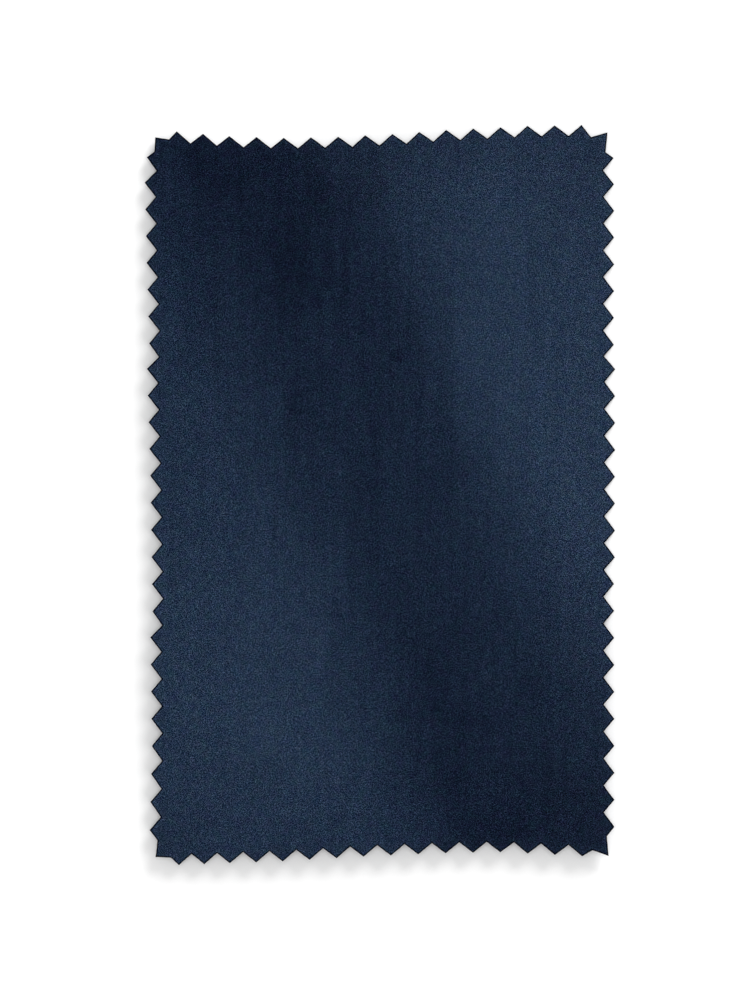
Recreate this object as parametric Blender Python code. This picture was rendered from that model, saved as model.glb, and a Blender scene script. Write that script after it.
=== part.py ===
"""A pinked cutting of navy curtain velvet, lying in soft swells on a flat surface.

Metres, +Z up. The origin is on that surface, under the middle of the cutting,
with X across it and +Y up its length, along the rows of the pile.
"""

from collections import namedtuple
from math import radians

import bmesh
import bpy
import numpy as np
from mathutils import Vector
from mathutils.geometry import delaunay_2d_cdt

MM = 0.001

# Driving sizes: the cutting from tip to tip, its cloth, and the teeth of the shears.
CUT_WIDTH = 100.9 * MM
CUT_LENGTH = 158.8 * MM
CLOTH_THICKNESS = 1.3 * MM
TOOTH_DEPTH = 2.3 * MM
TEETH_ACROSS = 16
TEETH_DOWN = 26

# The mesh: the spacing of its points, and how far in from the tips they start.
POINT_SPACING = 4.0 * MM
SIDE_MARGIN = 5.2 * MM
END_MARGIN = 6.4 * MM
NO_LIFT = 0.05 * MM
MERGE_DISTANCE = 0.001 * MM
CREASE_ANGLE = radians(40)

NAVY = (0.019, 0.040, 0.088, 1.0)
PILE_ROUGHNESS = 0.85
PILE_SHEEN = 0.5

# One side's teeth, counted from the left or from the top, in millimetres. first_tip and last_tip
# are the places of its end teeth along it, and lean is how far its notches stand up or to the
# right of half-way between two tips.
Side = namedtuple("Side", "first_tip last_tip lean drift")

# How a few of the teeth stray, in millimetres, with straight lines between: slip is how far a tip
# stands up or to the right of its even place, and back how far in from CUT_WIDTH or CUT_LENGTH.
Drift = namedtuple("Drift", "tooth slip back")

TOP = Side(
    first_tip=-43.7,
    last_tip=43.3,
    lean=0.15,
    drift=[
        Drift(tooth=0, slip=0.0, back=1.4),
        Drift(tooth=2, slip=-0.3, back=2.4),
        Drift(tooth=4, slip=-0.2, back=2.8),
        Drift(tooth=6, slip=-0.1, back=2.55),
        Drift(tooth=8, slip=-0.05, back=2.0),
        Drift(tooth=10, slip=-0.1, back=1.1),
        Drift(tooth=13, slip=0.0, back=0.2),
        Drift(tooth=15, slip=0.0, back=0.0),
    ],
)
BOTTOM = Side(
    first_tip=-43.2,
    last_tip=43.4,
    lean=0.0,
    drift=[
        Drift(tooth=0, slip=0.0, back=0.0),
        Drift(tooth=2, slip=-0.6, back=0.4),
        Drift(tooth=4, slip=-0.8, back=0.8),
        Drift(tooth=7, slip=-0.75, back=1.85),
        Drift(tooth=10, slip=-0.45, back=2.55),
        Drift(tooth=12, slip=-0.25, back=2.75),
        Drift(tooth=15, slip=0.0, back=1.9),
    ],
)
# The shears were set in again before teeth 8 and 18, where the left side steps out.
LEFT = Side(
    first_tip=72.5,
    last_tip=-72.0,
    lean=-0.2,
    drift=[
        Drift(tooth=0, slip=0.0, back=0.5),
        Drift(tooth=1, slip=0.35, back=0.0),
        Drift(tooth=4, slip=0.45, back=0.4),
        Drift(tooth=7, slip=0.5, back=1.0),
        Drift(tooth=8, slip=0.8, back=0.5),
        Drift(tooth=12, slip=1.0, back=1.2),
        Drift(tooth=17, slip=0.75, back=1.7),
        Drift(tooth=18, slip=0.95, back=1.25),
        Drift(tooth=22, slip=0.75, back=1.55),
        Drift(tooth=25, slip=0.0, back=1.1),
    ],
)
RIGHT = Side(
    first_tip=72.4,
    last_tip=-71.4,
    lean=0.2,
    drift=[
        Drift(tooth=0, slip=0.0, back=0.35),
        Drift(tooth=2, slip=0.15, back=0.2),
        Drift(tooth=7, slip=0.15, back=0.3),
        Drift(tooth=8, slip=0.6, back=0.0),
        Drift(tooth=15, slip=0.45, back=0.05),
        Drift(tooth=16, slip=0.5, back=0.25),
        Drift(tooth=25, slip=0.1, back=0.2),
    ],
)

# Where two cuts meet, the corner's point stands between two shallow nicks, one on the end of the
# cutting and one on its side. All are (x, y) in millimetres.
Corner = namedtuple("Corner", "end_nick point side_nick")
TOP_LEFT = Corner(end_nick=(-45.3, 76.3), point=(-48.2, 76.7), side_nick=(-48.4, 73.7))
TOP_RIGHT = Corner(end_nick=(45.3, 76.8), point=(48.8, 77.8), side_nick=(48.4, 73.6))
BOTTOM_LEFT = Corner(end_nick=(-44.9, -77.8), point=(-48.1, -77.7), side_nick=(-47.7, -74.2))
BOTTOM_RIGHT = Corner(end_nick=(45.6, -76.2), point=(49.0, -77.4), side_nick=(48.6, -73.3))

# A swell's sections, in millimetres. along is the section's place along the swell, crest is where
# its top lies across the swell, and the cloth comes down to the surface at reach_low and
# reach_high to either side of that.
Section = namedtuple("Section", "along crest height reach_low reach_high")

# The broad middle swell slants from the top edge to the lower right corner.
MIDDLE_SWELL = [
    Section(along=-84, crest=57, height=1.6, reach_low=44, reach_high=30),
    Section(along=-45, crest=46, height=2.0, reach_low=42, reach_high=26),
    Section(along=-20, crest=33, height=2.3, reach_low=40, reach_high=24),
    Section(along=20, crest=15, height=2.4, reach_low=39, reach_high=31),
    Section(along=50, crest=7, height=2.1, reach_low=40, reach_high=36),
    Section(along=84, crest=2, height=1.8, reach_low=36, reach_high=38),
]
# The left edge is lifted all the way down, and least at its two ends.
LEFT_SWELL = [
    Section(along=-84, crest=-53, height=0.9, reach_low=60, reach_high=40),
    Section(along=-45, crest=-53, height=3.0, reach_low=60, reach_high=38),
    Section(along=-10, crest=-53, height=2.7, reach_low=60, reach_high=34),
    Section(along=30, crest=-53, height=2.5, reach_low=60, reach_high=26),
    Section(along=60, crest=-53, height=1.9, reach_low=60, reach_high=20),
    Section(along=84, crest=-53, height=0.9, reach_low=60, reach_high=16),
]
# The bottom edge curls up between its corners.
BOTTOM_CURL = [
    Section(along=-54, crest=-83, height=0.2, reach_low=60, reach_high=20),
    Section(along=-20, crest=-83, height=2.8, reach_low=60, reach_high=20),
    Section(along=10, crest=-83, height=3.3, reach_low=60, reach_high=20),
    Section(along=54, crest=-83, height=0.8, reach_low=60, reach_high=16),
]


def clear_scene():
    for old in list(bpy.data.objects):
        bpy.data.objects.remove(old)


def stray(side, teeth, name):
    """One column of a side's drift table, in metres, for each of its teeth."""
    known = [drift.tooth for drift in side.drift]
    values = [getattr(drift, name) * MM for drift in side.drift]
    return np.interp(np.arange(teeth), known, values)


def zigzag(side, teeth, reach):
    """(along, out) of one side's tips, with a notch between each two of them.

    reach is how far the side's outermost tip lies from the origin.
    """
    along = np.linspace(side.first_tip, side.last_tip, teeth) * MM + stray(side, teeth, "slip")
    tips = np.column_stack([along, reach - stray(side, teeth, "back")])
    notches = (tips[:-1] + tips[1:]) / 2 + [side.lean * MM, -TOOTH_DEPTH]
    line = np.empty((len(tips) + len(notches), 2))
    line[0::2] = tips
    line[1::2] = notches
    return line


def pinked_outline():
    """The cut edge as (x, y) points, anticlockwise from the lower left corner."""
    top = zigzag(TOP, TEETH_ACROSS, CUT_LENGTH / 2)
    bottom = zigzag(BOTTOM, TEETH_ACROSS, CUT_LENGTH / 2) * [1, -1]
    left = zigzag(LEFT, TEETH_DOWN, CUT_WIDTH / 2)[:, ::-1] * [-1, 1]
    right = zigzag(RIGHT, TEETH_DOWN, CUT_WIDTH / 2)[:, ::-1]
    return np.vstack([
        np.array([BOTTOM_LEFT.side_nick, BOTTOM_LEFT.point, BOTTOM_LEFT.end_nick]) * MM,
        bottom,
        np.array([BOTTOM_RIGHT.end_nick, BOTTOM_RIGHT.point, BOTTOM_RIGHT.side_nick]) * MM,
        right[::-1],
        np.array([TOP_RIGHT.side_nick, TOP_RIGHT.point, TOP_RIGHT.end_nick]) * MM,
        top[::-1],
        np.array([TOP_LEFT.end_nick, TOP_LEFT.point, TOP_LEFT.side_nick]) * MM,
        left,
    ])


def between_sections(at, places, values):
    """A smooth curve through a table's values at its places, read at each point of at."""
    places = np.array(places, float)
    values = np.array(values, float)
    slopes = np.gradient(values, places)
    low = np.clip(np.searchsorted(places, at) - 1, 0, len(places) - 2)
    span = places[low + 1] - places[low]
    t = np.clip((at - places[low]) / span, 0, 1)
    rise = 3 * t**2 - 2 * t**3
    return (
        values[low] * (1 - rise)
        + values[low + 1] * rise
        + slopes[low] * span * (t**3 - 2 * t**2 + t)
        + slopes[low + 1] * span * (t**3 - t**2)
    )


def swell_height(along, across, sections):
    """How far one swell lifts each point, with a rounded top and feet that run out flat."""
    places = [section.along * MM for section in sections]
    crest, height, low, high = (
        between_sections(along, places, [getattr(section, name) * MM for section in sections])
        for name in ("crest", "height", "reach_low", "reach_high")
    )
    away = across - crest
    share = np.clip(np.abs(away) / np.where(away < 0, low, high), 0, 1)
    return height * (1 + np.cos(np.pi * share)) / 2


def lift(points):
    """The height of the cloth's underside over the surface at each (x, y) point."""
    x, y = points[:, 0], points[:, 1]
    height = (
        swell_height(y, x, MIDDLE_SWELL)
        + swell_height(y, x, LEFT_SWELL)
        + swell_height(x, y, BOTTOM_CURL)
    )
    return np.where(height < NO_LIFT, 0.0, height)


def points_inside():
    """An even grid of points between the roots of the teeth."""
    half_width = CUT_WIDTH / 2 - SIDE_MARGIN
    half_length = CUT_LENGTH / 2 - END_MARGIN
    across = np.linspace(-half_width, half_width, round(2 * half_width / POINT_SPACING) + 1)
    down = np.linspace(-half_length, half_length, round(2 * half_length / POINT_SPACING) + 1)
    return np.stack(np.meshgrid(across, down), axis=-1).reshape(-1, 2)


def velvet_material():
    material = bpy.data.materials.new("navy velvet")
    material.use_nodes = True
    shader = material.node_tree.nodes["Principled BSDF"]
    shader.inputs["Base Color"].default_value = NAVY
    shader.inputs["Roughness"].default_value = PILE_ROUGHNESS
    shader.inputs["Metallic"].default_value = 0.0
    shader.inputs["Sheen Weight"].default_value = PILE_SHEEN
    material.diffuse_color = NAVY
    return material


def velvet_cutting():
    """One piece of cloth: its underside is cut out, lifted into its swells and thickened."""
    outline = pinked_outline()
    count = len(outline)
    rim = [(i, (i + 1) % count) for i in range(count)]
    flat = [Vector(point) for point in np.vstack([outline, points_inside()])]
    inside_rim = 1
    cut, _, faces, *_ = delaunay_2d_cdt(flat, rim, [], inside_rim, MERGE_DISTANCE)
    heights = lift(np.array(cut))

    cloth = bmesh.new()
    corners = [cloth.verts.new((p.x, p.y, z)) for p, z in zip(cut, heights)]
    for face in faces:
        cloth.faces.new([corners[i] for i in face])
    upper = bmesh.ops.extrude_face_region(cloth, geom=cloth.faces[:])["geom"]
    upper_points = [part for part in upper if isinstance(part, bmesh.types.BMVert)]
    bmesh.ops.translate(cloth, verts=upper_points, vec=(0, 0, CLOTH_THICKNESS))
    bmesh.ops.recalc_face_normals(cloth, faces=cloth.faces[:])

    mesh = bpy.data.meshes.new("velvet_cutting")
    cloth.to_mesh(mesh)
    cloth.free()
    mesh.shade_smooth()
    mesh.set_sharp_from_angle(angle=CREASE_ANGLE)
    mesh.materials.append(velvet_material())
    cutting = bpy.data.objects.new("velvet_cutting", mesh)
    bpy.context.scene.collection.objects.link(cutting)


clear_scene()
velvet_cutting()
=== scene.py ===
# A pinked cutting of navy velvet, lying on a pale table and seen from straight above.
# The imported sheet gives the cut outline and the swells. A finer cloth is laid on them here,
# with its pile, its cut edge and its woven back.

from math import cos, radians, sin

import bmesh
import bpy
import numpy as np
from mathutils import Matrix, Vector, noise
from mathutils.geometry import delaunay_2d_cdt
from mathutils.kdtree import KDTree


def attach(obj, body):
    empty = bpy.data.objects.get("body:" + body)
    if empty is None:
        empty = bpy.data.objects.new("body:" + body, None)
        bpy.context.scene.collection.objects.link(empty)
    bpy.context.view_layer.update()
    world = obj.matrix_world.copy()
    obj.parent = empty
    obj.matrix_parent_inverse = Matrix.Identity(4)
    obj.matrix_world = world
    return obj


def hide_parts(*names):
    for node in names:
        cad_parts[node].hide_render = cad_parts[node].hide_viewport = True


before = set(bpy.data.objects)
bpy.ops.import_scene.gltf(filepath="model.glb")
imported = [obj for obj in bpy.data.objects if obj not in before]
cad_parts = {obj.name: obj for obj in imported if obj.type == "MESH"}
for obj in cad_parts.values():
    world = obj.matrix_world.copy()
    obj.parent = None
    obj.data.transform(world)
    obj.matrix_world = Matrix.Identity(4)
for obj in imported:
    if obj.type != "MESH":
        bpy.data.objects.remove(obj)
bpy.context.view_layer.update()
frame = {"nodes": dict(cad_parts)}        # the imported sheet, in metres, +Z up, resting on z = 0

mm = 0.001
print("frame loaded:", ", ".join(frame["nodes"]))


def linear(hexColour):
    # an sRGB hex colour as linear RGBA
    parts = [int(hexColour[i:i + 2], 16) / 255 for i in (1, 3, 5)]
    return [p / 12.92 if p <= 0.04045 else ((p + 0.055) / 1.055) ** 2.4 for p in parts] + [1.0]


def addNode(tree, kind, settings, inputs):
    # one node with its settings, and each input given a value or another node's output
    node = tree.nodes.new(kind)
    for name, value in settings.items():
        setattr(node, name, value)
    for name, value in inputs.items():
        if isinstance(value, bpy.types.NodeSocket):
            tree.links.new(value, node.inputs[name])
        else:
            node.inputs[name].default_value = value
    return node


def startMaterial(name):
    material = bpy.data.materials.new(name)
    material.use_nodes = True
    tree = material.node_tree
    return material, tree, tree.nodes["Principled BSDF"]


def placeInMm(tree):
    # the place on the cloth in millimetres, so that every texture scale is 1 / its real size
    place = addNode(tree, "ShaderNodeTexCoord", {}, {})
    return addNode(
        tree, "ShaderNodeVectorMath", {"operation": "SCALE"},
        {0: place.outputs["Object"], "Scale": 1 / mm}).outputs["Vector"]


def colourAndBumps(tree, shader, look, colour, height, sunken):
    # a material's colour, its gloss, and bumps that stand up with the height or sink with it
    tree.links.new(colour, shader.inputs["Base Color"])
    bump = addNode(tree, "ShaderNodeBump", {"invert": sunken}, {
        "Strength": look["bumpStrength"], "Distance": look["bumpHeight"] * mm, "Height": height})
    tree.links.new(bump.outputs["Normal"], shader.inputs["Normal"])
    shader.inputs["Specular IOR Level"].default_value = look["specular"]


# The camera looks straight down, and the middle of the picture lies a little down and left of
# the middle of the cloth.
cameraSetup = {
    "lens": 400,             # mm, long, so that the swells do not shift the edge
    "sensor": 36,            # mm
    "pixelSize": 0.21481,    # mm on the cloth for one pixel of the photo
    "pictureHeight": 1000,   # those pixels
    "lookAt": (-1.08, -1.10),              # mm
    "clothHeight": 2.5,      # mm, where that scale holds
}


def makeCamera():
    setup = cameraSetup
    data = bpy.data.cameras.new("overhead")
    data.lens = setup["lens"]
    data.sensor_width = setup["sensor"]
    camera = bpy.data.objects.new("overhead", data)
    away = setup["pixelSize"] * setup["pictureHeight"] * setup["lens"] / setup["sensor"]
    x, y = setup["lookAt"]
    camera.location = Vector((x, y, setup["clothHeight"] + away)) * mm
    bpy.context.scene.collection.objects.link(camera)
    bpy.context.scene.camera = camera
    print("camera", round(away), "mm above the cloth")


makeCamera()

# A soft low lamp at the upper right gives the shadow, one overhead lights the table evenly, and
# the room fills in. Angles are in degrees, azimuth from +X towards +Y, and width is how wide the
# lamp looks from the cloth.
lighting = {
    "lamps": [
        {"name": "lowSoftLamp", "azimuth": 59, "elevation": 28, "width": 31, "strength": 2.38},
        {"name": "overheadLamp", "azimuth": 0, "elevation": 90, "width": 34, "strength": 1.13},
    ],
    "roomStrength": 0.56,    # as it lights the cloth
    "roomSeen": 1.0,         # as the camera sees it past the table, plain white
}


def makeLighting():
    setup = lighting
    for each in setup["lamps"]:
        data = bpy.data.lights.new(each["name"], "SUN")
        data.energy = each["strength"]
        data.angle = radians(each["width"])
        lamp = bpy.data.objects.new(each["name"], data)
        around, up = radians(each["azimuth"]), radians(each["elevation"])
        towards = Vector((cos(around) * cos(up), sin(around) * cos(up), sin(up)))
        lamp.rotation_euler = towards.to_track_quat("Z", "Y").to_euler()
        bpy.context.scene.collection.objects.link(lamp)

    world = bpy.data.worlds.new("paleRoom")
    world.use_nodes = True
    room = world.node_tree.nodes["Background"]
    room.inputs["Color"].default_value = (1, 1, 1, 1)
    seen = addNode(world.node_tree, "ShaderNodeLightPath", {}, {})
    strength = addNode(world.node_tree, "ShaderNodeMapRange", {}, {
        "Value": seen.outputs["Is Camera Ray"],
        "To Min": setup["roomStrength"], "To Max": setup["roomSeen"]})
    world.node_tree.links.new(strength.outputs["Result"], room.inputs["Strength"])
    bpy.context.scene.world = world
    bpy.context.scene.view_settings.view_transform = "Standard"
    print("lamps and room made")


makeLighting()

# The table: white laminate, pressed matt. It is even and has no gloss, so it only takes the
# cloth's soft shadow.
tableTop = {
    "colour": "#f4f4f4",
    "size": 12000,           # mm, past the edge of any view
    "below": 0.02,           # mm under the cloth, so that no two surfaces share a place
    "roughness": 0.9,
    "specular": 0.0,
}


def makeTable():
    look = tableTop
    bpy.ops.mesh.primitive_plane_add(size=look["size"] * mm, location=(0, 0, -look["below"] * mm))
    table = bpy.context.object
    table.name = "paleTable"
    material, tree, shader = startMaterial("white laminate, pressed matt")
    shader.inputs["Base Color"].default_value = linear(look["colour"])
    shader.inputs["Roughness"].default_value = look["roughness"]
    shader.inputs["Specular IOR Level"].default_value = look["specular"]
    table.data.materials.append(material)
    print("table made")


makeTable()

# The cloth's fine mesh, in millimetres
cloth = {
    "node": "velvet_cutting",
    "pileStep": 0.52,        # between the points of the pile's surface
    "backStep": 1.8,         # between those of the plainer back
    "rimStep": 0.48,         # along the cut
    "fray": 0.05,            # how far the cut strays, from one side of its line to the other
    "seed": 11,
}

# How the points lie inside the rim, as shares of the step between them
filling = {
    "rowGap": 0.87,          # makes nearly even-sided triangles
    "stray": 0.16,           # either way, so that they form no pattern
    "clearOfRim": 0.6,
}

# The cut edge in section, from the back up to the pile: how far in from the outline each line
# lies, how far up from the back, and the finish of the strip above it. The near-black cut edge
# strips are painted shade down in the cut.
edgeSection = [
    {"inward": 0.14, "up": 0.00, "finish": "back"},
    {"inward": 0.02, "up": 0.05, "finish": "back"},        # the ground cloth's cut threads
    {"inward": 0.00, "up": 0.36, "finish": "cut edge"},
    {"inward": 0.07, "up": 0.50, "finish": "pile"},        # the pile's roots stand back
    {"inward": -0.03, "up": 0.80, "finish": "pile"},       # and its ends splay out past the cut
    {"inward": -0.09, "up": 1.03, "finish": "cut edge"},
    {"inward": -0.05, "up": 1.18, "finish": "cut edge"},
    {"inward": 0.17, "up": 1.26, "finish": "pile"},
    {"inward": 0.45, "up": 1.29, "finish": "pile"},
    {"inward": 0.64, "up": 1.30, "finish": "pile"},
]

# The pile's lay near the cut. Its sides show the fibres' flanks below this height over the back,
# and the outermost pile leans out, most at the given distance in from the cut. In mm, apart from
# the lay, which goes from 0 to 1.
sideLean = {"below": 1.1, "shadeAndLay": 0.35}
rimLean = {"inward": 0.45, "reach": 0.28, "change": 0.18}

# The unevenness of the pile's surface: the size of each kind of bump and its height, in mm
pileRelief = [
    {"across": 9.0, "along": 14.0, "height": 0.060},       # where it was handled
    {"across": 2.6, "along": 3.4, "height": 0.030},        # clumps of tufts
    {"across": 1.3, "along": 30.0, "height": 0.012},       # rows of the pile
]

# How dark or light the pile is painted, row by row down the cloth: 0 dark, 1 light. This is partly
# the pile's lay, dark where it stands and light where it leans over, and partly painted shade and
# painted light of the swells. A dark band of painted shade slants down the slope of the middle swell
# that faces away from the low lamp, between a left and a right light part painted on slopes that
# face it. Each edge of the band is where the value is half-way, and soft is how far it takes to
# either side. y, the edges and the softness are in mm.
shadeAndLayRows = [
    {"y": 80, "left": 0.14, "dark": 0.14, "right": 0.68,
     "leftEdge": -60, "leftSoft": 12, "rightEdge": 1, "rightSoft": 34},
    {"y": 64, "left": 0.33, "dark": 0.13, "right": 0.86,
     "leftEdge": -46, "leftSoft": 12, "rightEdge": 2, "rightSoft": 22},
    {"y": 48, "left": 0.51, "dark": 0.18, "right": 0.91,
     "leftEdge": -42, "leftSoft": 22, "rightEdge": 9, "rightSoft": 18},
    {"y": 32, "left": 0.59, "dark": 0.25, "right": 0.93,
     "leftEdge": -36, "leftSoft": 22, "rightEdge": 14, "rightSoft": 11},
    {"y": 16, "left": 0.63, "dark": 0.29, "right": 0.97,
     "leftEdge": -26, "leftSoft": 14, "rightEdge": 20, "rightSoft": 14},
    {"y": 0, "left": 0.66, "dark": 0.30, "right": 0.96,
     "leftEdge": -19, "leftSoft": 18, "rightEdge": 27, "rightSoft": 18},
    {"y": -16, "left": 0.76, "dark": 0.30, "right": 0.83,
     "leftEdge": -10, "leftSoft": 12, "rightEdge": 34, "rightSoft": 20},
    {"y": -32, "left": 0.84, "dark": 0.24, "right": 0.79,
     "leftEdge": -6, "leftSoft": 14, "rightEdge": 42, "rightSoft": 24},
    {"y": -48, "left": 0.86, "dark": 0.18, "right": 0.57,
     "leftEdge": -2, "leftSoft": 17, "rightEdge": 48, "rightSoft": 26},
    {"y": -64, "left": 0.76, "dark": 0.15, "right": 0.38,
     "leftEdge": 3, "leftSoft": 16, "rightEdge": 58, "rightSoft": 20},
    {"y": -80, "left": 0.55, "dark": 0.16, "right": 0.24,
     "leftEdge": 8, "leftSoft": 18, "rightEdge": 62, "rightSoft": 14},
]

# Soft strokes that make the pile darker or lighter along a line, with how far each one reaches to
# either side of its line. Places and reach are in mm.
darkerLighterStrokes = [
    {"start": (-24, 78), "end": (-18, 42), "reach": 12, "change": -0.09},      # the darkest parts
    {"start": (14, -36), "end": (36, -74), "reach": 13, "change": -0.05},
    {"start": (3.4, 29.6), "end": (4.0, 28.9), "reach": 2.0, "change": -0.20},  # a small dark spot
    {"start": (-1.2, 16), "end": (-0.9, -14), "reach": 1.5, "change": -0.11},  # along the rows
    {"start": (32.3, 60), "end": (33.6, 31), "reach": 1.5, "change": -0.15},
    {"start": (31.4, 25), "end": (30.8, 2), "reach": 1.6, "change": -0.12},
    {"start": (14.7, 43), "end": (12.9, 14), "reach": 2.0, "change": -0.11},
    {"start": (6.2, 43), "end": (6.2, 31), "reach": 1.6, "change": -0.10},
    {"start": (40.1, 57), "end": (40.1, 43), "reach": 1.6, "change": 0.10},
    {"start": (26.6, 30), "end": (26.6, 4), "reach": 1.6, "change": 0.08},
    {"start": (35.2, 30), "end": (35.6, 4), "reach": 1.6, "change": 0.08},
    {"start": (-11.4, 43), "end": (-11.4, 31), "reach": 1.6, "change": 0.09},
    {"start": (-7.3, 30), "end": (-7.3, 18), "reach": 1.6, "change": 0.08},
    {"start": (3.4, 70), "end": (3.4, 57), "reach": 1.6, "change": 0.08},
    {"start": (-25.2, -22), "end": (-25.2, -36), "reach": 1.7, "change": -0.12},
    {"start": (-9.9, -23), "end": (-10.1, -48), "reach": 1.7, "change": -0.11},
    {"start": (17.8, 38), "end": (17.6, 18), "reach": 2.4, "change": 0.10},
    {"start": (-18.6, 26), "end": (-18.4, 4), "reach": 1.4, "change": -0.06},
    {"start": (-23, -3), "end": (-23, -17), "reach": 1.4, "change": -0.08},
    {"start": (-20, 62), "end": (-20, 42), "reach": 2.4, "change": -0.02},
    {"start": (-0.5, 53), "end": (-0.5, 45), "reach": 2.4, "change": -0.06},
    {"start": (17.3, -60), "end": (17.3, -74), "reach": 1.7, "change": -0.07},
    {"start": (35.7, -52), "end": (35.7, -70), "reach": 1.7, "change": -0.05},
    {"start": (4, -46), "end": (27, -49.5), "reach": 2.5, "change": -0.06},    # across them
    {"start": (-4, -50), "end": (12, -50.5), "reach": 2.2, "change": 0.05},
    {"start": (8, -56), "end": (14, -56), "reach": 3.0, "change": -0.05},
    {"start": (-37, -71), "end": (-10, -71), "reach": 2.4, "change": -0.06},
    {"start": (-38, 76), "end": (-34, 68), "reach": 9, "change": -0.14},       # broad, soft ones
    {"start": (-12, 64), "end": (-2, 64), "reach": 8, "change": -0.11},
    {"start": (-42, 56), "end": (-38, 30), "reach": 9, "change": -0.07},
    {"start": (21, 66), "end": (30, 55), "reach": 8, "change": 0.08},
    {"start": (46, 42), "end": (46, -4), "reach": 9, "change": 0.11},
    {"start": (-12, 26), "end": (-20, 14), "reach": 7, "change": -0.08},
    {"start": (12, 2), "end": (20, 6), "reach": 8, "change": -0.06},
    {"start": (-44, -8), "end": (-34, -8), "reach": 7, "change": -0.06},
    {"start": (21, -37), "end": (28, -56), "reach": 11, "change": 0.11},
    {"start": (36, -46), "end": (44, -57), "reach": 8, "change": 0.07},
    {"start": (-30, -47), "end": (-14, -57), "reach": 8, "change": 0.09},
    {"start": (16, -73), "end": (27, -73), "reach": 8, "change": -0.09},
]


def readSheet(node):
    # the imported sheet's underside: the corners round its cut edge, and all of its points, in mm
    samePoint = 0.01 * mm
    facingDown = -0.5
    sheet = bmesh.new()
    sheet.from_mesh(node.data)
    bmesh.ops.remove_doubles(sheet, verts=sheet.verts[:], dist=samePoint)
    sheet.normal_update()
    rest = [face for face in sheet.faces if face.normal.z > facingDown]
    bmesh.ops.delete(sheet, geom=rest, context="FACES")
    beside = {}
    for edge in sheet.edges:
        if edge.is_boundary:
            for here, other in (edge.verts, reversed(edge.verts)):
                beside.setdefault(here, []).append(other)
    start = next(iter(beside))
    corners = [start]
    before, here = None, start
    while True:
        ahead = next(vert for vert in beside[here] if vert is not before)
        if ahead is start:
            break
        corners.append(ahead)
        before, here = here, ahead
    outline = np.array([vert.co.xy for vert in corners]) / mm
    points = np.array([vert.co for vert in sheet.verts]) / mm
    sheet.free()
    x, y = outline.T
    if (x * np.roll(y, -1) - y * np.roll(x, -1)).sum() < 0:
        outline = outline[::-1]            # anticlockwise
    return outline, points


def bend(distance):
    # how a thin plate's height spreads from one point
    leastDistance = 1e-9                   # keeps the logarithm from zero
    return distance ** 2 * np.log(np.maximum(distance, leastDistance))


def fitSwells(points):
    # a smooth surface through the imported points, bending no more than a thin plate would
    unit = 100                             # mm, so that the equations stay even
    batch = 2000                           # places worked out at a time
    known, heights = points[:, :2] / unit, points[:, 2]
    count = len(known)
    edges = np.column_stack([np.ones(count), known])
    gaps = np.linalg.norm(known[:, None] - known[None], axis=2)
    whole = np.block([[bend(gaps), edges], [edges.T, np.zeros((3, 3))]])
    weights = np.linalg.solve(whole, np.append(heights, np.zeros(3)))

    def swell(places):
        result = []
        for part in np.array_split(places / unit, len(places) // batch + 1):
            gaps = np.linalg.norm(part[:, None] - known[None], axis=2)
            result.append(bend(gaps) @ weights[:count] + weights[count] + part @ weights[count + 1:])
        return np.maximum(np.concatenate(result), 0)

    return swell


def inset(corners, inward):
    # the outline moved inward, with its corners kept
    ahead = np.roll(corners, -1, axis=0) - corners
    ahead /= np.linalg.norm(ahead, axis=1, keepdims=True)
    inAhead = np.column_stack([-ahead[:, 1], ahead[:, 0]])
    inBehind = np.roll(inAhead, 1, axis=0)
    return corners + inward * (inAhead + inBehind) / (1 + (inAhead * inBehind).sum(1, keepdims=True))


def stepsAlong(corners, counts):
    # each flank of the outline in its own number of steps
    flanks = zip(corners, np.roll(corners, -1, axis=0), counts)
    return np.vstack([np.linspace(here, ahead, count, endpoint=False) for here, ahead, count in flanks])


def fillInside(ring, step, dice):
    # rows of points inside a ring, joined up into triangles; returns the new points and the faces
    low, high = ring.min(0), ring.max(0)
    rows = np.arange(low[1] + step / 2, high[1], step * filling["rowGap"])
    across = np.arange(low[0] + step / 2, high[0], step)
    grid = np.array([(x + step / 2 * (row % 2), y) for row, y in enumerate(rows) for x in across])
    grid += dice.uniform(-filling["stray"], filling["stray"], grid.shape) * step
    near = KDTree(len(ring))
    for i, (x, y) in enumerate(ring):
        near.insert((x, y, 0), i)
    near.balance()
    clear = [near.find((x, y, 0))[2] > step * filling["clearOfRim"] for x, y in grid]
    grid = grid[clear]
    places = [Vector(place) for place in np.vstack([ring, grid])]
    around = [(i, (i + 1) % len(ring)) for i in range(len(ring))]
    insideOnly = 1
    samePoint = 1e-6
    _, _, faces, sources, *_ = delaunay_2d_cdt(places, around, [], insideOnly, samePoint)
    source = [kept[0] for kept in sources]
    return grid, [[source[i] for i in face] for face in faces]


def softStep(share):
    share = np.clip((share + 1) / 2, 0, 1)
    return share * share * (3 - 2 * share)


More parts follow.
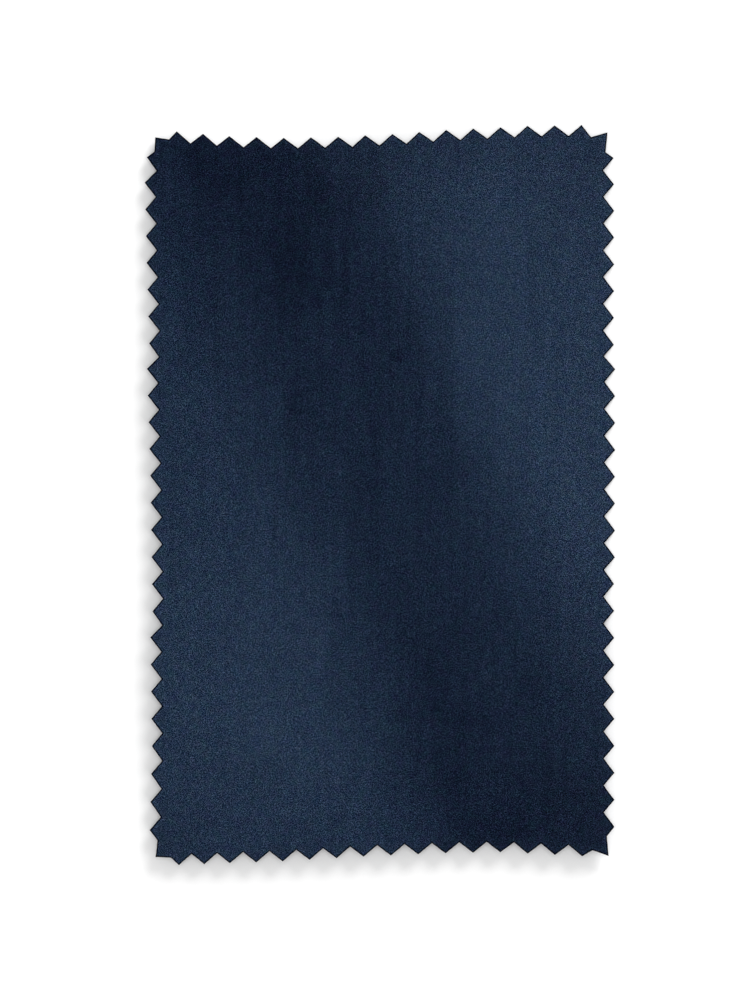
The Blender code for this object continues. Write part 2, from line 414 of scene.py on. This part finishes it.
def paintedShadeAndNapLay(places):
    # how dark or light the pile is painted at each place, from the rows and the strokes: its lay
    # together with painted shade and painted light of the swells
    x, y = places.T
    rows = sorted(shadeAndLayRows, key=lambda row: row["y"])
    heights = [row["y"] for row in rows]
    value = {name: np.interp(y, heights, [row[name] for row in rows]) for name in rows[0]}
    onLeft = 1 - softStep((x - value["leftEdge"]) / value["leftSoft"])
    onRight = softStep((x - value["rightEdge"]) / value["rightSoft"])
    shadeAndLay = value["dark"] + (value["left"] - value["dark"]) * onLeft
    shadeAndLay += (value["right"] - shadeAndLay) * onRight
    for stroke in darkerLighterStrokes:
        start, along = np.array(stroke["start"]), np.subtract(stroke["end"], stroke["start"])
        share = np.clip((places - start) @ along / (along @ along), 0, 1)[:, None]
        gap = np.linalg.norm(places - start - share * along, axis=1)
        shadeAndLay += stroke["change"] * (1 - softStep(2 * gap / stroke["reach"] - 1))
    return shadeAndLay


def reliefAt(places):
    # the height of the pile's bumps over its even surface
    levelGap = 7.3                         # each kind is cut from the noise at a level of its own
    height = np.zeros(len(places))
    for level, bumps in enumerate(pileRelief):
        across, along = bumps["across"], bumps["along"]
        height += bumps["height"] * np.array(
            [noise.noise((x / across, y / along, levelGap * level)) for x, y in places])
    return height


def makeCloth(materials):
    outline, packedPoints = readSheet(frame["nodes"][cloth["node"]])
    swell = fitSwells(packedPoints)
    dice = np.random.default_rng(cloth["seed"])
    print("outline read:", len(outline), "corners;", len(packedPoints), "points in the swells")

    flanks = np.linalg.norm(np.roll(outline, -1, axis=0) - outline, axis=1)
    counts = np.maximum(2, np.round(flanks / cloth["rimStep"])).astype(int)
    deepest = edgeSection[-1]["inward"]
    inner = stepsAlong(inset(outline, deepest), counts)
    stray = dice.uniform(-0.5, 0.5, len(inner))[:, None] * cloth["fray"]
    points, ringStart, leans = [], [], []
    for line in edgeSection:
        ring = stepsAlong(inset(outline, line["inward"]), counts)
        inwards = inner - stepsAlong(outline, counts)
        inwards /= np.linalg.norm(inwards, axis=1, keepdims=True)
        ring = ring + inwards * stray * (1 - line["inward"] / deepest)
        ringStart.append(sum(map(len, points)))
        points.append(np.column_stack([ring, swell(ring) + line["up"]]))
        off = abs(line["inward"] - rimLean["inward"]) / rimLean["reach"]
        leans += [rimLean["change"] * max(0, 1 - off)] * len(ring)
    around = len(inner)

    faces, finishOf = [], []
    for line, low, high in zip(edgeSection, ringStart, ringStart[1:]):
        for i in range(around):
            j = (i + 1) % around
            faces.append((low + i, low + j, high + j, high + i))
            finishOf.append(line["finish"])

    pilePlaces, pileFaces = fillInside(points[-1][:, :2], cloth["pileStep"], dice)
    pileStart = sum(map(len, points))
    points.append(np.column_stack(
        [pilePlaces, swell(pilePlaces) + edgeSection[-1]["up"] + reliefAt(pilePlaces)]))
    for face in pileFaces:
        faces.append([ringStart[-1] + i if i < around else pileStart + i - around for i in face])
        finishOf.append("pile")

    backPlaces, backFaces = fillInside(points[0][:, :2], cloth["backStep"], dice)
    backStart = sum(map(len, points))
    points.append(np.column_stack([backPlaces, swell(backPlaces)]))
    for face in backFaces:
        faces.append([i if i < around else backStart + i - around for i in reversed(face)])
        finishOf.append("back")

    points = np.vstack(points)
    mesh = bpy.data.meshes.new("velvetCutting")
    mesh.from_pydata((points * mm).tolist(), [], faces)
    names = list(materials)
    for name in names:
        mesh.materials.append(materials[name])
    mesh.polygons.foreach_set("material_index", [names.index(finish) for finish in finishOf])
    # the pile's lay and the painted shade and light of the swells, kept on the points for the pile's
    # colour
    shadeAndLay = paintedShadeAndNapLay(points[:, :2])
    shadeAndLay[:len(leans)] += leans
    for line, low in zip(edgeSection, ringStart):
        if line["up"] < sideLean["below"]:
            shadeAndLay[low:low + around] = sideLean["shadeAndLay"]
    shadeAndLayOnMesh = mesh.attributes.new("paintedShadeAndNapLay", "FLOAT", "POINT")
    shadeAndLayOnMesh.data.foreach_set("value", shadeAndLay.astype(np.float32))
    mesh.shade_smooth()
    mesh.update()
    piece = bpy.data.objects.new("velvetCutting", mesh)
    bpy.context.scene.collection.objects.link(piece)
    triangles = len(mesh.loops) - 2 * len(mesh.polygons)
    print("cloth laid:", len(mesh.polygons), "faces,", triangles, "triangles")
    return piece, outline


# Cotton velvet: woven double, slit apart, sheared and piece-dyed navy. The short upright pile
# swallows light, so it looks near black where it stands and blue where it leans over. These two
# shades also carry painted shade and painted light: darker on the swells' slopes that face away
# from the low lamp, lighter on those that face it. The ends of the fibres are paler and greyer than
# the shade between them, which gives a fine sparkle.
pile = {
    # near black and blue: the pile's lay with painted shade and painted light of the swells
    "standsInShadeBetween": "#000015",
    "standsInShadeEnds": "#2e3852",
    "leansInLightBetween": "#022039",
    "leansInLightEnds": "#606e85",
    "teal": "#10333b",
    "violet": "#221b40",
    "fibreEnds": 0.10,       # mm. One end is 0.02 mm, too fine to show, so each spot is a few
    "glintRarity": 8.0,      # the higher, the fewer of them catch the light
    "tuftAcross": 0.155,     # mm from a tuft's light middle to the dark where two meet
    "tuftAlong": 0.18,
    "tuftDepth": 0.68,       # how much lighter and darker that is
    "uneven": [              # mm across, and how far each kind shifts the lay either way
        (10.0, 0.04),        # where it was stroked
        (2.6, 0.03),         # where it was sheared unevenly
    ],
    "dyePatch": 1.7,         # mm, uneven dye
    "dyeOnDark": 0.52,       # how much it shows where the pile stands in painted shade, and where it leans in painted light
    "dyeOnLight": 0.33,
    "greyer": "#ffffe2",     # and its cast, from patch to patch
    "bluer": "#e9e9ff",
    "castOnDark": 0.5,
    "castOnLight": 1.0,
    "rowAcross": 1.5,        # mm. Single rows are too fine, so each streak is a few of them
    "rowAlong": 30.0,
    "rowOnDark": 0.66,       # how much they show where the pile stands in painted shade, and where it leans in painted light
    "rowOnLight": 0.28,
    "bumpStrength": 0.3,
    "bumpHeight": 0.08,      # mm
    "smoothest": 0.78,       # roughness, from one fibre's end to the next
    "roughest": 1.0,
    "specular": 0.01,        # fibres on end give next to no gloss
    "sheen": 0.12,
    "sheenRoughness": 0.45,
    "sheenTint": "#8ea6cc",
}

noiseLow, noiseHigh = 0.3, 0.7             # most of a noise texture lies between these


def makePile():
    look = pile
    material, tree, shader = startMaterial("navy cotton velvet, woven, sheared and piece-dyed")
    place = placeInMm(tree)
    # the pile's lay with painted shade and painted light of the swells, read from the points
    shadeAndLay = addNode(tree, "ShaderNodeAttribute", {"attribute_name": "paintedShadeAndNapLay"}, {})

    # Uneven shearing and handling shift the lay itself, and the painted shade and light on it, so it
    # darkens and lightens like stroking
    shiftedShadeAndLay = shadeAndLay.outputs["Fac"]
    for size, amount in look["uneven"]:
        uneven = addNode(tree, "ShaderNodeTexNoise", {}, {
            "Vector": place, "Scale": 1 / size, "Detail": 2.0, "Roughness": 0.55})
        shift = addNode(tree, "ShaderNodeMapRange", {}, {
            "Value": uneven.outputs["Fac"], "From Min": noiseLow, "From Max": noiseHigh,
            "To Min": -amount, "To Max": amount})
        shiftedShadeAndLay = addNode(tree, "ShaderNodeMath", {"operation": "ADD", "use_clamp": True}, {
            0: shiftedShadeAndLay, 1: shift.outputs["Result"]}).outputs["Value"]
    between = addNode(tree, "ShaderNodeMix", {"data_type": "RGBA"}, {
        "Factor": shiftedShadeAndLay, "A": linear(look["standsInShadeBetween"]), "B": linear(look["leansInLightBetween"])})
    ends = addNode(tree, "ShaderNodeMix", {"data_type": "RGBA"}, {
        "Factor": shiftedShadeAndLay, "A": linear(look["standsInShadeEnds"]), "B": linear(look["leansInLightEnds"])})

    # Each spot of cut ends catches the light in its own way, and a power keeps the brightest ones
    # rare. A tuft's middle then gets more of the ends' colour, and the dark round it less.
    fibres = addNode(tree, "ShaderNodeTexVoronoi", {"feature": "F1", "voronoi_dimensions": "2D"}, {
        "Vector": place, "Scale": 1 / look["fibreEnds"], "Randomness": 1.0})
    chance = addNode(tree, "ShaderNodeSeparateColor", {}, {"Color": fibres.outputs["Color"]})
    glint = addNode(tree, "ShaderNodeMath", {"operation": "POWER"}, {
        0: chance.outputs["Red"], 1: look["glintRarity"]})
    tuftPlace = addNode(tree, "ShaderNodeMapping", {}, {
        "Vector": place, "Scale": (1 / look["tuftAcross"], 1 / look["tuftAlong"], 1)})
    tufts = addNode(tree, "ShaderNodeTexNoise", {"noise_dimensions": "2D"}, {
        "Vector": tuftPlace.outputs["Vector"], "Scale": 1.0, "Detail": 0.0})
    depth = addNode(tree, "ShaderNodeMapRange", {"clamp": False}, {
        "Value": tufts.outputs["Fac"], "To Min": -look["tuftDepth"], "To Max": look["tuftDepth"]})
    share = addNode(tree, "ShaderNodeMath", {"operation": "ADD"}, {
        0: glint.outputs["Value"], 1: depth.outputs["Result"]})
    unclamped = {"data_type": "RGBA", "clamp_factor": False, "clamp_result": True}
    navy = addNode(tree, "ShaderNodeMix", unclamped, {
        "Factor": share.outputs["Value"], "A": between.outputs["Result"], "B": ends.outputs["Result"]})

    # The dye took unevenly: small patches lean to teal or to violet, and are greyer or bluer
    patch = addNode(tree, "ShaderNodeTexNoise", {}, {
        "Vector": place, "Scale": 1 / look["dyePatch"], "Detail": 1.0, "Roughness": 0.5})
    took = addNode(tree, "ShaderNodeSeparateColor", {}, {"Color": patch.outputs["Color"]})
    dye = addNode(tree, "ShaderNodeMix", {"data_type": "RGBA"}, {
        "Factor": took.outputs["Red"], "A": linear(look["teal"]), "B": linear(look["violet"])})
    dyeShare = addNode(tree, "ShaderNodeMapRange", {}, {
        "Value": shiftedShadeAndLay, "To Min": look["dyeOnDark"], "To Max": look["dyeOnLight"]})
    dyed = addNode(tree, "ShaderNodeMix", {"data_type": "RGBA", "blend_type": "COLOR"}, {
        "Factor": dyeShare.outputs["Result"], "A": navy.outputs["Result"], "B": dye.outputs["Result"]})
    cast = addNode(tree, "ShaderNodeMix", {"data_type": "RGBA"}, {
        "Factor": took.outputs["Green"], "A": linear(look["greyer"]), "B": linear(look["bluer"])})
    castShare = addNode(tree, "ShaderNodeMapRange", {}, {
        "Value": shiftedShadeAndLay, "To Min": look["castOnDark"], "To Max": look["castOnLight"]})
    dyed = addNode(tree, "ShaderNodeMix", {"data_type": "RGBA", "blend_type": "MULTIPLY"}, {
        "Factor": castShare.outputs["Result"], "A": dyed.outputs["Result"], "B": cast.outputs["Result"]})

    # The pile stands in rows up the cloth. They show most where it stands, in the painted shade.
    rows = addNode(tree, "ShaderNodeMapping", {}, {
        "Vector": place, "Scale": (1 / look["rowAcross"], 1 / look["rowAlong"], 1)})
    streak = addNode(tree, "ShaderNodeTexNoise", {}, {
        "Vector": rows.outputs["Vector"], "Scale": 1.0, "Detail": 3.0, "Roughness": 0.55})
    uneven = addNode(tree, "ShaderNodeMath", {"operation": "SUBTRACT"}, {
        0: streak.outputs["Fac"], 1: 0.5})
    amount = addNode(tree, "ShaderNodeMapRange", {}, {
        "Value": shiftedShadeAndLay, "To Min": look["rowOnDark"], "To Max": look["rowOnLight"]})
    tone = addNode(tree, "ShaderNodeMath", {"operation": "MULTIPLY_ADD"}, {
        0: uneven.outputs["Value"], 1: amount.outputs["Result"], 2: 1.0})
    colour = addNode(tree, "ShaderNodeVectorMath", {"operation": "SCALE"}, {
        0: dyed.outputs["Result"], "Scale": tone.outputs["Value"]})
    colourAndBumps(tree, shader, look, colour.outputs["Vector"], fibres.outputs["Distance"], True)
    rough = addNode(tree, "ShaderNodeMapRange", {}, {
        "Value": chance.outputs["Green"], "To Min": look["smoothest"], "To Max": look["roughest"]})
    tree.links.new(rough.outputs["Result"], shader.inputs["Roughness"])
    shader.inputs["Sheen Weight"].default_value = look["sheen"]
    shader.inputs["Sheen Roughness"].default_value = look["sheenRoughness"]
    shader.inputs["Sheen Tint"].default_value = linear(look["sheenTint"])
    return material


# The cut edge: pinking shears leave the threads' ends square. Its near-black colour is painted
# shade, the shade down in the cut painted as a near-black line round the cloth.
cutEdgeShade = {
    "colour": "#01030e",
    "thread": 0.36,          # mm between the cut threads
    "uneven": 0.7,           # 0 would set them in even rows
    "gapDistance": 0.7,      # from a thread's middle to the gap beside it, as a share of thread
    "onThread": 1.5,         # how light the colour is there, and in the gap
    "inGap": 0.4,
    "bumpStrength": 0.6,
    "bumpHeight": 0.1,       # mm
    "roughness": 0.95,
    "specular": 0.0,
}


def makeCutEdgeShade():
    look = cutEdgeShade
    material, tree, shader = startMaterial("velvet cut edge, sheared square, painted shade")
    place = placeInMm(tree)
    threads = addNode(tree, "ShaderNodeTexVoronoi", {"feature": "F1"}, {
        "Vector": place, "Scale": 1 / look["thread"], "Randomness": look["uneven"]})
    tone = addNode(tree, "ShaderNodeMapRange", {}, {
        "Value": threads.outputs["Distance"], "From Max": look["gapDistance"],
        "To Min": look["onThread"], "To Max": look["inGap"]})
    colour = addNode(tree, "ShaderNodeVectorMath", {"operation": "SCALE"}, {
        0: linear(look["colour"])[:3], "Scale": tone.outputs["Result"]})
    colourAndBumps(tree, shader, look, colour.outputs["Vector"], threads.outputs["Distance"], True)
    shader.inputs["Roughness"].default_value = look["roughness"]
    return material


# The back: a plain-woven cotton ground in the same dye, matt, with its threads showing.
back = {
    "colour": "#1b2942",
    "thread": 0.45,          # mm between threads, both ways
    "wander": 0.6,           # how far they stray from straight
    "onThread": 1.15,        # how light the colour is there, and in the gaps
    "inGap": 0.5,
    "bumpStrength": 0.6,
    "bumpHeight": 0.1,       # mm
    "roughness": 0.85,
    "specular": 0.2,
}

waveRepeat = 0.314                         # what a wave texture repeats over at a scale of 1


def makeBack():
    look = back
    material, tree, shader = startMaterial("navy cotton ground, plain-woven")
    threads = {
        "Vector": placeInMm(tree), "Scale": waveRepeat / look["thread"],
        "Distortion": look["wander"], "Detail Scale": 2.0}
    warp = addNode(tree, "ShaderNodeTexWave", {"bands_direction": "X"}, threads)
    weft = addNode(tree, "ShaderNodeTexWave", {"bands_direction": "Y"}, threads)
    weave = addNode(tree, "ShaderNodeMath", {"operation": "MAXIMUM"}, {
        0: warp.outputs["Fac"], 1: weft.outputs["Fac"]})
    tone = addNode(tree, "ShaderNodeMapRange", {}, {
        "Value": weave.outputs["Value"], "To Min": look["inGap"], "To Max": look["onThread"]})
    colour = addNode(tree, "ShaderNodeVectorMath", {"operation": "SCALE"}, {
        0: linear(look["colour"])[:3], "Scale": tone.outputs["Result"]})
    colourAndBumps(tree, shader, look, colour.outputs["Vector"], weave.outputs["Value"], False)
    shader.inputs["Roughness"].default_value = look["roughness"]
    return material


finishes = {"pile": makePile(), "cut edge": makeCutEdgeShade(), "back": makeBack()}
print("materials made:", ", ".join(finishes))
velvet, outline = makeCloth(finishes)
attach(velvet, "root")
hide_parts(cloth["node"])
